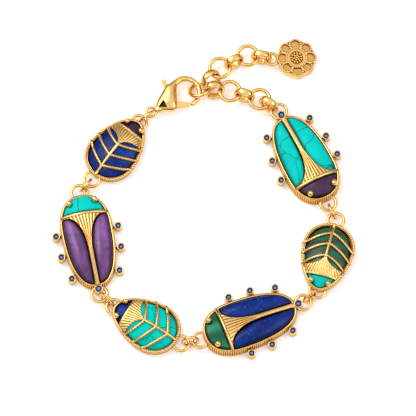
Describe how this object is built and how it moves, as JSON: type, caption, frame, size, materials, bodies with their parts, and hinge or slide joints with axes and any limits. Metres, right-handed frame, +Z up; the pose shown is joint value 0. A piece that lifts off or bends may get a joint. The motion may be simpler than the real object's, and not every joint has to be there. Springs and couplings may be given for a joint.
{
  "type": "bracelet",
  "caption": "Linked bracelet of inlaid scarabs on jump rings, with a lobster clasp, a short rolo extender chain and a granulated rosette at its end.",
  "frame": {"origin": "on the table, under the middle of the bracelet's bounding box", "axes": "+Z up, away from the table; +Y towards the clasp and the extender; +X to the right as the bracelet lies in the picture"},
  "size_m": [0.0704, 0.0794, 0.0056],
  "materials": {
    "gold": "polished, gold plated",
    "lapis": "polished stone",
    "amethyst": "polished stone",
    "turquoise": "polished stone",
    "malachite": "polished stone",
    "blue_glass": "faceted"
  },
  "bodies": {
    "bracelet": {"large_amethyst_setting": "gold", "large_amethyst_wing_left": "amethyst", "large_amethyst_wing_right": "amethyst", "large_amethyst_head_stone": "turquoise", "large_amethyst_accent_stones": "blue_glass", "large_lapis_setting": "gold", "large_lapis_wing_left": "lapis", "large_lapis_wing_right": "lapis", "large_lapis_head_stone": "malachite", "large_lapis_accent_stones": "blue_glass", "large_turquoise_setting": "gold", "large_turquoise_wing_left": "turquoise", "large_turquoise_wing_right": "turquoise", "large_turquoise_head_stone": "amethyst", "large_turquoise_accent_stones": "blue_glass", "small_lapis_setting": "gold", "small_lapis_body_stone": "lapis", "small_lapis_head_stone": "amethyst", "small_turquoise_setting": "gold", "small_turquoise_body_stone": "turquoise", "small_turquoise_head_stone": "lapis", "small_malachite_setting": "gold", "small_malachite_body_stone": "malachite", "small_malachite_head_stone": "turquoise", "jump_ring_1": "gold", "jump_ring_2": "gold", "jump_ring_3": "gold", "jump_ring_4": "gold", "jump_ring_5": "gold", "clasp_ring": "gold", "chain_link_1": "gold", "chain_link_2": "gold", "chain_link_3": "gold", "chain_link_4": "gold", "chain_link_5": "gold", "chain_band_1": "gold", "chain_band_2": "gold", "chain_band_3": "gold", "chain_band_4": "gold", "chain_band_5": "gold", "chain_band_6": "gold", "clasp_body": "gold", "rosette": "gold"},
    "lever": {"clasp_lever": "gold"}
  },
  "joints": [
    {"name": "clasp_lever", "type": "hinge", "parent": "bracelet", "child": "lever", "pos_m": [-0.00736, 0.02273, 0.00207], "axis": [0, 0, 1], "range_deg": [0, 24], "stiffness_Nm_per_rad": 0.002, "springref_deg": -22.92}
  ]
}
